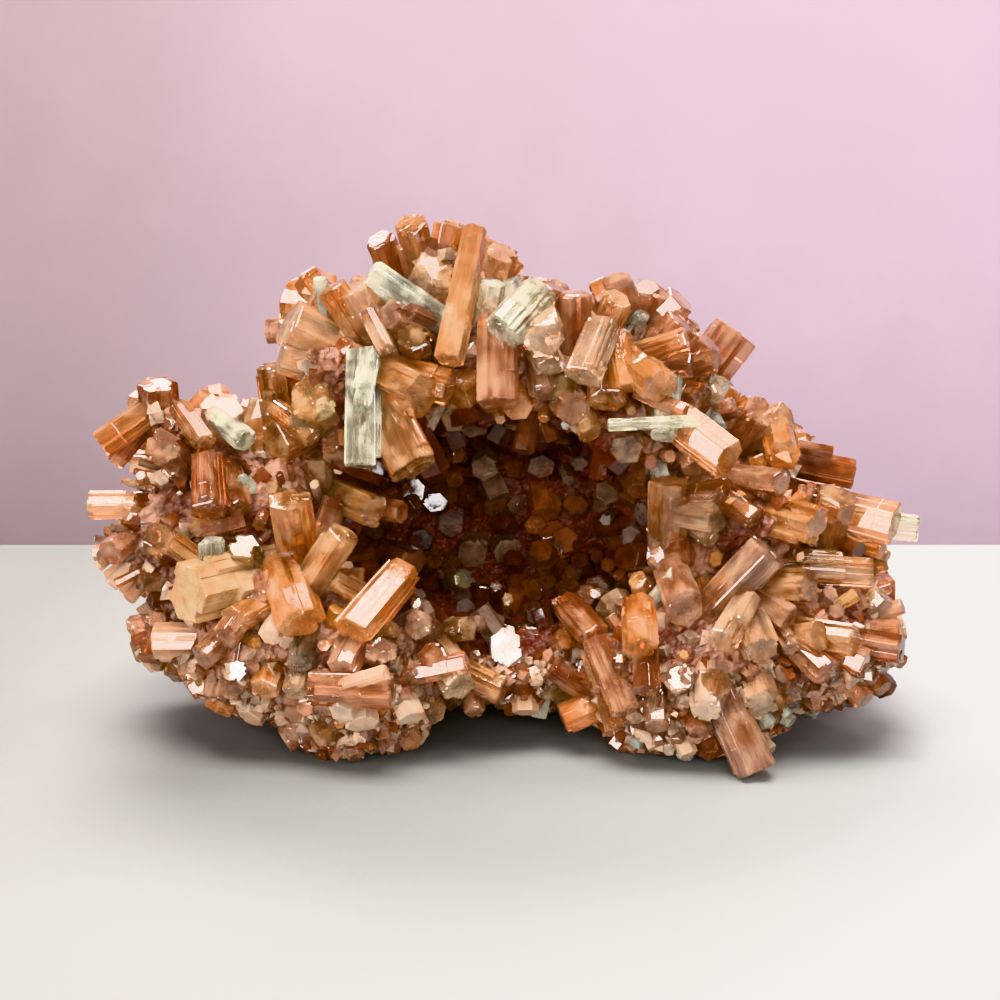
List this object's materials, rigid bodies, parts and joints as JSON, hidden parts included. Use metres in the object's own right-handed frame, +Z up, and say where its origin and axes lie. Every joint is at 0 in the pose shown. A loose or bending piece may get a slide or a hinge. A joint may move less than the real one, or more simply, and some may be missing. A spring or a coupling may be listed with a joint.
{
  "type": "aragonite crystal cluster",
  "caption": "Free-standing aragonite cluster: stubby six-sided crystals grown together around a hollow that faces the front, resting on lumpy feet.",
  "frame": {"origin": "middle of the bounding box, on the resting plane", "axes": "+X along the long side, to the right as seen from the front, +Z up, the hollow faces -Y"},
  "size_m": [0.1056, 0.0667, 0.0663],
  "materials": {
    "crystal": "amber and rose-brown crystal, glassy faces, fine ridges along the sides",
    "hollow": "dark red-brown crystal, glassy flat ends"
  },
  "bodies": {
    "root": {"cluster": "crystal", "hollow_crust": "hollow"}
  },
  "joints": []
}
